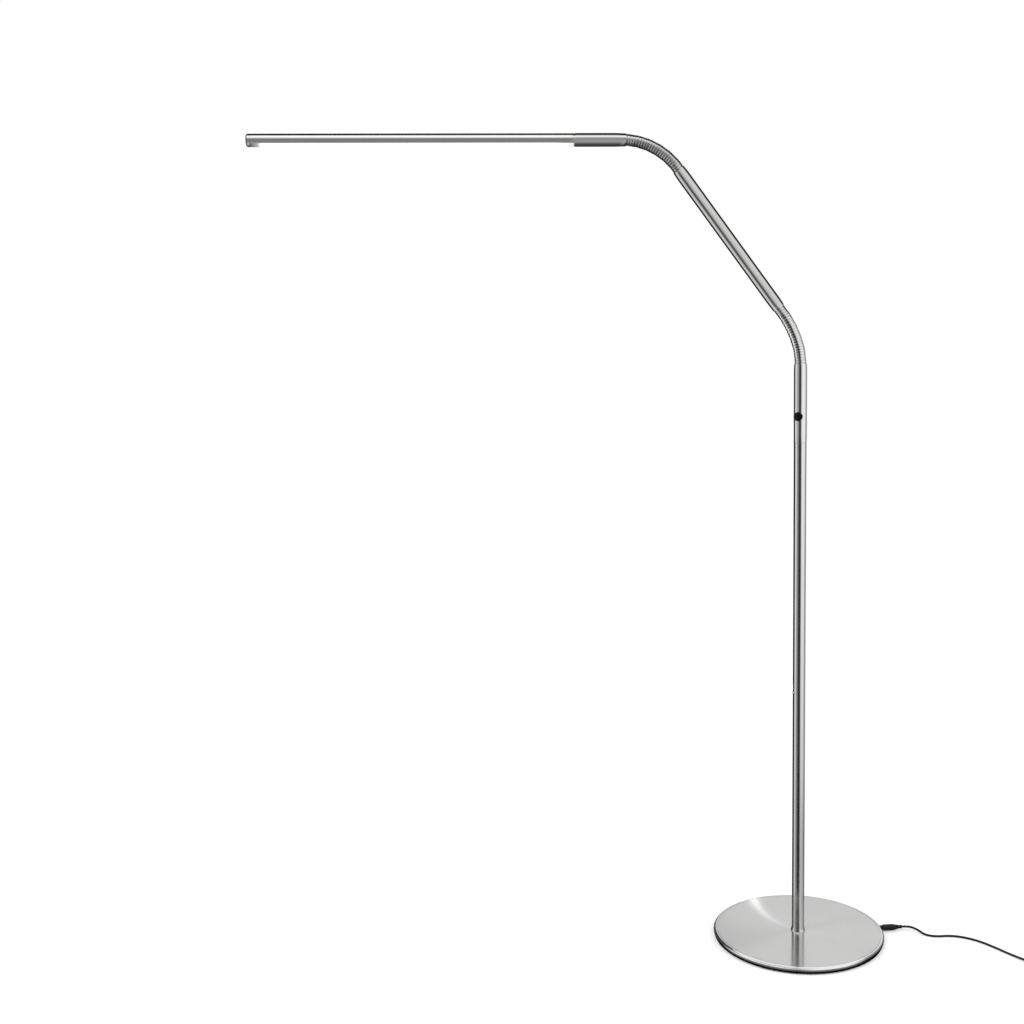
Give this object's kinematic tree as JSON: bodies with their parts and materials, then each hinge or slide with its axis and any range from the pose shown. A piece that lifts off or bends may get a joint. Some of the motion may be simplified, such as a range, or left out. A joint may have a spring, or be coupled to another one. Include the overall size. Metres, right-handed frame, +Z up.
{
  "type": "gooseneck reading floor lamp",
  "caption": "Floor lamp with a heavy round base, upright pole, two flexible necks with an arm between them, and a slim tubular LED light head on a push button.",
  "frame": {"origin": "centre of the round base's underside, on the floor", "axes": "+Z up along the pole; the necks, arm and head lie in the XZ plane and reach toward -X; the button looks toward -Y"},
  "size_m": [1.2109, 0.3554, 1.2359],
  "materials": {
    "floor_felt": "matte soft pad",
    "brushed_disc": "circular brushed nickel",
    "cast_weight": "as cast",
    "zinc_hardware": "zinc plated",
    "satin_tube": "satin nickel",
    "inner_aluminium": "turned",
    "neck_metal": "polished nickel",
    "button_rubber": "black, satin gloss",
    "switch_plastic": "black",
    "circuit_board": "white solder mask",
    "switch_metal": "nickel plated",
    "lead_jacket": "black jacket",
    "head_metal": "satin nickel",
    "opal_diffuser": "opal, satin",
    "led_phosphor": "phosphor yellow",
    "cord_jacket": "black flexible jacket",
    "adapter_plastic": "black, fine texture"
  },
  "bodies": {
    "stand": {"floor_pad": "floor_felt", "base_cover": "brushed_disc", "base_weight": "cast_weight", "clamp_washer": "zinc_hardware", "clamp_nut": "zinc_hardware", "pole_nipple": "zinc_hardware", "pole_foot": "satin_tube", "lower_pole": "satin_tube", "pole_coupler": "inner_aluminium", "upper_tube": "satin_tube", "switch_carrier": "switch_plastic", "switch_board": "circuit_board", "tact_switch": "switch_metal", "lower_neck_cup_plug": "inner_aluminium", "base_lead": "lead_jacket", "dc_jack": "switch_plastic", "dc_plug_barrel": "switch_metal", "dc_plug": "cord_jacket", "power_cord": "cord_jacket", "cord_coil": "cord_jacket", "cord_tie": "cord_jacket", "adapter_case": "adapter_plastic", "adapter_prongs": "switch_metal"},
    "button": {"switch_button": "button_rubber"},
    "lower_link_01": {"lower_neck_link_01": "neck_metal"},
    "lower_link_02": {"lower_neck_link_02": "neck_metal"},
    "lower_link_03": {"lower_neck_link_03": "neck_metal"},
    "lower_link_04": {"lower_neck_link_04": "neck_metal"},
    "lower_link_05": {"lower_neck_link_05": "neck_metal"},
    "lower_link_06": {"lower_neck_link_06": "neck_metal"},
    "lower_link_07": {"lower_neck_link_07": "neck_metal"},
    "lower_link_08": {"lower_neck_link_08": "neck_metal"},
    "lower_link_09": {"lower_neck_link_09": "neck_metal"},
    "lower_link_10": {"lower_neck_link_10": "neck_metal"},
    "lower_link_11": {"lower_neck_link_11": "neck_metal"},
    "arm": {"lower_neck_ball_plug": "inner_aluminium", "arm_tube": "satin_tube", "upper_neck_cup_plug": "inner_aluminium"},
    "upper_link_01": {"upper_neck_link_01": "neck_metal"},
    "upper_link_02": {"upper_neck_link_02": "neck_metal"},
    "upper_link_03": {"upper_neck_link_03": "neck_metal"},
    "upper_link_04": {"upper_neck_link_04": "neck_metal"},
    "upper_link_05": {"upper_neck_link_05": "neck_metal"},
    "upper_link_06": {"upper_neck_link_06": "neck_metal"},
    "upper_link_07": {"upper_neck_link_07": "neck_metal"},
    "upper_link_08": {"upper_neck_link_08": "neck_metal"},
    "upper_link_09": {"upper_neck_link_09": "neck_metal"},
    "upper_link_10": {"upper_neck_link_10": "neck_metal"},
    "upper_link_11": {"upper_neck_link_11": "neck_metal"},
    "head": {"upper_neck_ball_plug": "inner_aluminium", "head_ferrule": "satin_tube", "head_joiner": "inner_aluminium", "head_housing": "head_metal", "led_strip": "circuit_board", "led_chips": "led_phosphor", "diffuser": "opal_diffuser", "end_cap": "head_metal", "head_lead": "lead_jacket"}
  },
  "joints": [
    {"name": "button_press", "type": "slide", "parent": "stand", "child": "button", "axis": [0.5446, 0.8387, 0], "range_m": [0, 0.0008], "stiffness_N_per_m": 900, "springref_m": -0.0012},
    {"name": "lower_bend", "type": "hinge", "parent": "stand", "child": "lower_link_01", "pos_m": [0, 0, 0.88945], "axis": [0, -1, 0], "range_deg": [-16, 6]},
    {"name": "lower_sway", "type": "hinge", "parent": "lower_link_01", "child": "lower_link_02", "pos_m": [-0.00082, 0, 0.89731], "axis": [0.9946, 0, 0.1039], "range_deg": [-8, 8]},
    {"name": "lower_bend_2", "type": "hinge", "parent": "lower_link_02", "child": "lower_link_03", "pos_m": [-0.00164, 0, 0.90516], "axis": [0, -1, 0], "range_deg": [-16, 6]},
    {"name": "lower_bend_3", "type": "hinge", "parent": "lower_link_03", "child": "lower_link_04", "pos_m": [-0.00328, 0, 0.91289], "axis": [0, -1, 0], "range_deg": [-16, 6]},
    {"name": "lower_sway_2", "type": "hinge", "parent": "lower_link_04", "child": "lower_link_05", "pos_m": [-0.0057, 0, 0.92041], "axis": [0.9516, 0, 0.3074], "range_deg": [-8, 8]},
    {"name": "lower_bend_4", "type": "hinge", "parent": "lower_link_05", "child": "lower_link_06", "pos_m": [-0.00813, 0, 0.92793], "axis": [0, -1, 0], "range_deg": [-16, 6]},
    {"name": "lower_sway_3", "type": "hinge", "parent": "lower_link_06", "child": "lower_link_07", "pos_m": [-0.01133, 0, 0.93515], "axis": [0.9145, 0, 0.4046], "range_deg": [-8, 8]},
    {"name": "lower_bend_5", "type": "hinge", "parent": "lower_link_07", "child": "lower_link_08", "pos_m": [-0.01452, 0, 0.94238], "axis": [0, -1, 0], "range_deg": [-16, 6]},
    {"name": "lower_sway_4", "type": "hinge", "parent": "lower_link_08", "child": "lower_link_09", "pos_m": [-0.01845, 0, 0.94923], "axis": [0.8675, 0, 0.4975], "range_deg": [-8, 8]},
    {"name": "lower_bend_6", "type": "hinge", "parent": "lower_link_09", "child": "lower_link_10", "pos_m": [-0.02238, 0, 0.95608], "axis": [0, -1, 0], "range_deg": [-16, 6]},
    {"name": "lower_sway_5", "type": "hinge", "parent": "lower_link_10", "child": "lower_link_11", "pos_m": [-0.02701, 0, 0.96249], "axis": [0.8111, 0, 0.585], "range_deg": [-8, 8]},
    {"name": "lower_sway_6", "type": "hinge", "parent": "lower_link_11", "child": "arm", "pos_m": [-0.03163, 0, 0.9689], "axis": [0.8111, 0, 0.585], "range_deg": [-8, 8]},
    {"name": "upper_sway", "type": "hinge", "parent": "arm", "child": "upper_link_01", "pos_m": [-0.17763, 0, 1.17134], "axis": [0.8111, 0, 0.585], "range_deg": [-8, 8]},
    {"name": "upper_bend", "type": "hinge", "parent": "upper_link_01", "child": "upper_link_02", "pos_m": [-0.18225, 0, 1.17775], "axis": [0, -1, 0], "range_deg": [-19, 3.5]},
    {"name": "upper_sway_2", "type": "hinge", "parent": "upper_link_02", "child": "upper_link_03", "pos_m": [-0.1878, 0, 1.18337], "axis": [0.7119, 0, 0.7023], "range_deg": [-8, 8]},
    {"name": "upper_bend_2", "type": "hinge", "parent": "upper_link_03", "child": "upper_link_04", "pos_m": [-0.19335, 0, 1.189], "axis": [0, -1, 0], "range_deg": [-19, 3.5]},
    {"name": "upper_sway_3", "type": "hinge", "parent": "upper_link_04", "child": "upper_link_05", "pos_m": [-0.19969, 0, 1.1937], "axis": [0.596, 0, 0.803], "range_deg": [-8, 8]},
    {"name": "upper_bend_3", "type": "hinge", "parent": "upper_link_05", "child": "upper_link_06", "pos_m": [-0.20604, 0, 1.19841], "axis": [0, -1, 0], "range_deg": [-19, 3.5]},
    {"name": "upper_sway_4", "type": "hinge", "parent": "upper_link_06", "child": "upper_link_07", "pos_m": [-0.21303, 0, 1.20209], "axis": [0.466, 0, 0.8848], "range_deg": [-8, 8]},
    {"name": "upper_bend_4", "type": "hinge", "parent": "upper_link_07", "child": "upper_link_08", "pos_m": [-0.22002, 0, 1.20578], "axis": [0, -1, 0], "range_deg": [-19, 3.5]},
    {"name": "upper_sway_5", "type": "hinge", "parent": "upper_link_08", "child": "upper_link_09", "pos_m": [-0.22749, 0, 1.20834], "axis": [0.325, 0, 0.9457], "range_deg": [-8, 8]},
    {"name": "upper_bend_5", "type": "hinge", "parent": "upper_link_09", "child": "upper_link_10", "pos_m": [-0.23496, 0, 1.21091], "axis": [0, -1, 0], "range_deg": [-19, 3.5]},
    {"name": "upper_sway_6", "type": "hinge", "parent": "upper_link_10", "child": "upper_link_11", "pos_m": [-0.24274, 0, 1.2123], "axis": [0.1764, 0, 0.9843], "range_deg": [-8, 8]},
    {"name": "upper_bend_6", "type": "hinge", "parent": "upper_link_11", "child": "head", "pos_m": [-0.25051, 0, 1.2137], "axis": [0, -1, 0], "range_deg": [-19, 3.5]}
  ],
  "couplings": [
    {"joint": "lower_bend_2", "follows": "lower_bend", "ratio": 1},
    {"joint": "lower_bend_3", "follows": "lower_bend", "ratio": 1},
    {"joint": "lower_sway_2", "follows": "lower_sway", "ratio": 1},
    {"joint": "lower_bend_4", "follows": "lower_bend", "ratio": 1},
    {"joint": "lower_sway_3", "follows": "lower_sway", "ratio": 1},
    {"joint": "lower_bend_5", "follows": "lower_bend", "ratio": 1},
    {"joint": "lower_sway_4", "follows": "lower_sway", "ratio": 1},
    {"joint": "lower_bend_6", "follows": "lower_bend", "ratio": 1},
    {"joint": "lower_sway_5", "follows": "lower_sway", "ratio": 1},
    {"joint": "lower_sway_6", "follows": "lower_sway", "ratio": 1},
    {"joint": "upper_sway_2", "follows": "upper_sway", "ratio": 1},
    {"joint": "upper_bend_2", "follows": "upper_bend", "ratio": 1},
    {"joint": "upper_sway_3", "follows": "upper_sway", "ratio": 1},
    {"joint": "upper_bend_3", "follows": "upper_bend", "ratio": 1},
    {"joint": "upper_sway_4", "follows": "upper_sway", "ratio": 1},
    {"joint": "upper_bend_4", "follows": "upper_bend", "ratio": 1},
    {"joint": "upper_sway_5", "follows": "upper_sway", "ratio": 1},
    {"joint": "upper_bend_5", "follows": "upper_bend", "ratio": 1},
    {"joint": "upper_sway_6", "follows": "upper_sway", "ratio": 1},
    {"joint": "upper_bend_6", "follows": "upper_bend", "ratio": 1}
  ]
}
